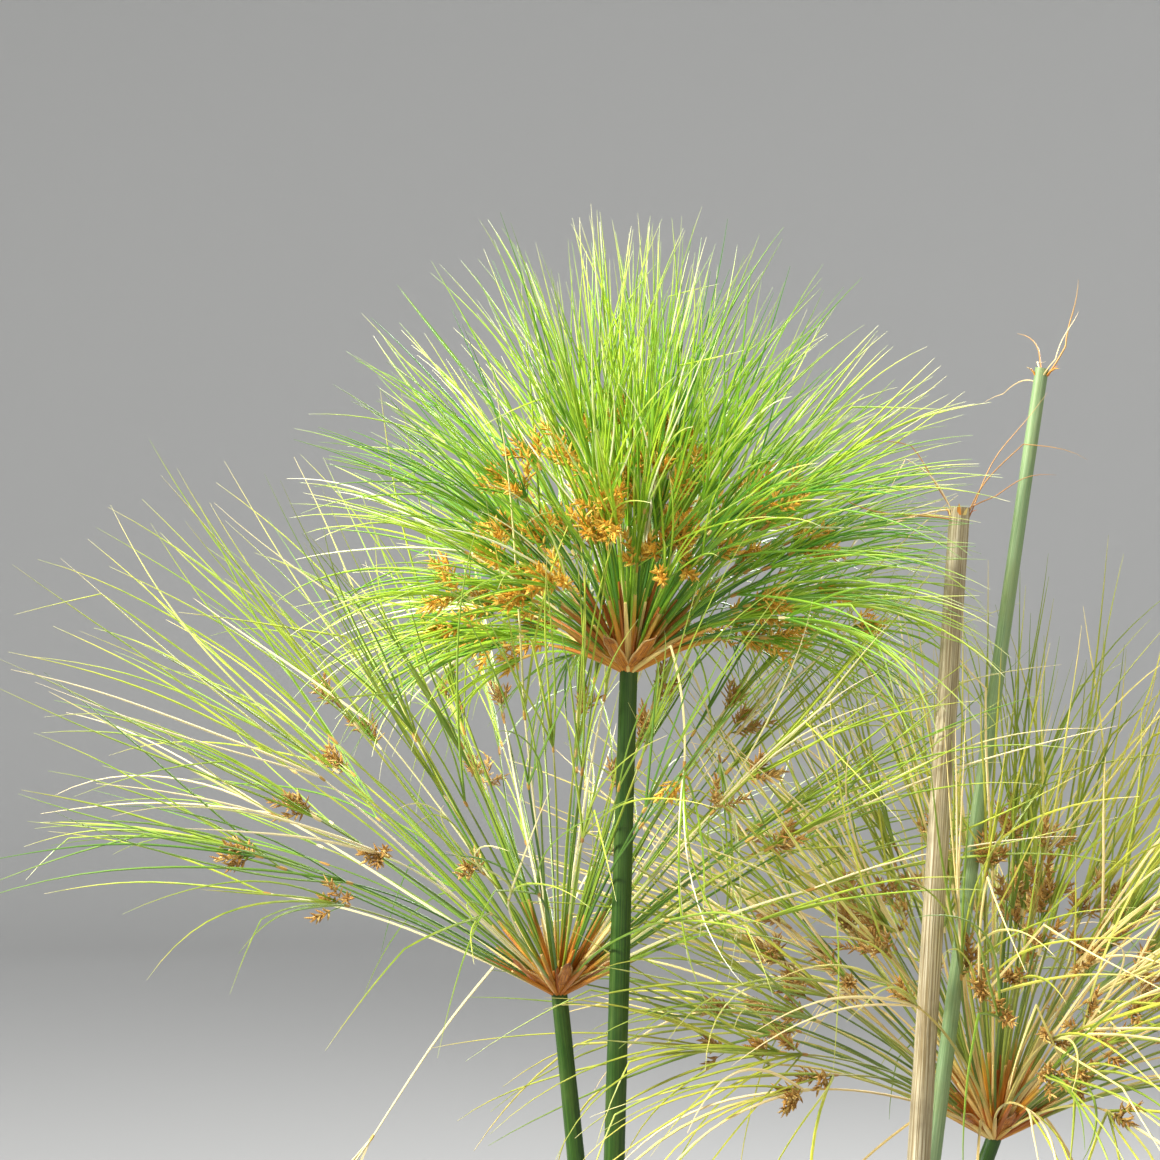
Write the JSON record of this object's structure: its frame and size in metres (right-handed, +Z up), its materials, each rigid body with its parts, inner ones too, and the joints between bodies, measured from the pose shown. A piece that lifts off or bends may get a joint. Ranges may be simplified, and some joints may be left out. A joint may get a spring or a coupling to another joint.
{
  "type": "potted papyrus plant",
  "caption": "Clump of papyrus in a plain round clay pot: tall rounded-triangular stems carry mop-like umbels of thin arching rays over cups of brown bracts.",
  "frame": {"origin": "centre of the pot's flat underside", "axes": "+Z up along the pot's axis and the stems; +X to the right and -Y towards the viewer as the plant is usually seen, with the tallest umbel left of the middle"},
  "size_m": [1.0769, 0.8042, 1.4813],
  "materials": {
    "clay": "unglazed, matte",
    "earth": "crumbly, matte",
    "root": "scaly, matte",
    "culm_green": "smooth, waxy",
    "culm_pale": "smooth, satin",
    "culm_dry": "dry, fibrous",
    "sheath": "papery, matte",
    "bract": "leathery, ribbed",
    "ray_green": "thread-like, satin",
    "ray_olive": "thread-like, satin",
    "ray_dry": "dry, matte"
  },
  "bodies": {
    "root": {"pot": "clay", "soil": "earth", "rootstock": "root", "culm_main": "culm_green", "sheath_main": "sheath", "culm_rear": "culm_green", "sheath_rear": "sheath", "culm_side": "culm_green", "sheath_side": "sheath", "culm_cut_green": "culm_pale", "sheath_cut_green": "sheath", "culm_cut_dry": "culm_dry", "sheath_cut_dry": "sheath", "culm_shoot_tall": "culm_green", "sheath_shoot_tall": "sheath", "culm_shoot_short": "culm_green", "sheath_shoot_short": "sheath", "umbel_main_rays": "ray_green", "bract_main_1": "bract", "bract_main_2": "bract", "bract_main_3": "bract", "bract_main_4": "bract", "bract_main_5": "bract", "bract_main_6": "bract", "bract_main_7": "bract", "bract_main_8": "bract", "umbel_rear_rays": "ray_green", "bract_rear_1": "bract", "bract_rear_2": "bract", "bract_rear_3": "bract", "bract_rear_4": "bract", "bract_rear_5": "bract", "bract_rear_6": "bract", "bract_rear_7": "bract", "umbel_side_rays": "ray_olive", "bract_side_1": "bract", "bract_side_2": "bract", "bract_side_3": "bract", "bract_side_4": "bract", "bract_side_5": "bract", "bract_side_6": "bract", "bract_side_7": "bract", "tuft_cut_green": "ray_dry", "tuft_cut_dry": "ray_dry"}
  },
  "joints": []
}
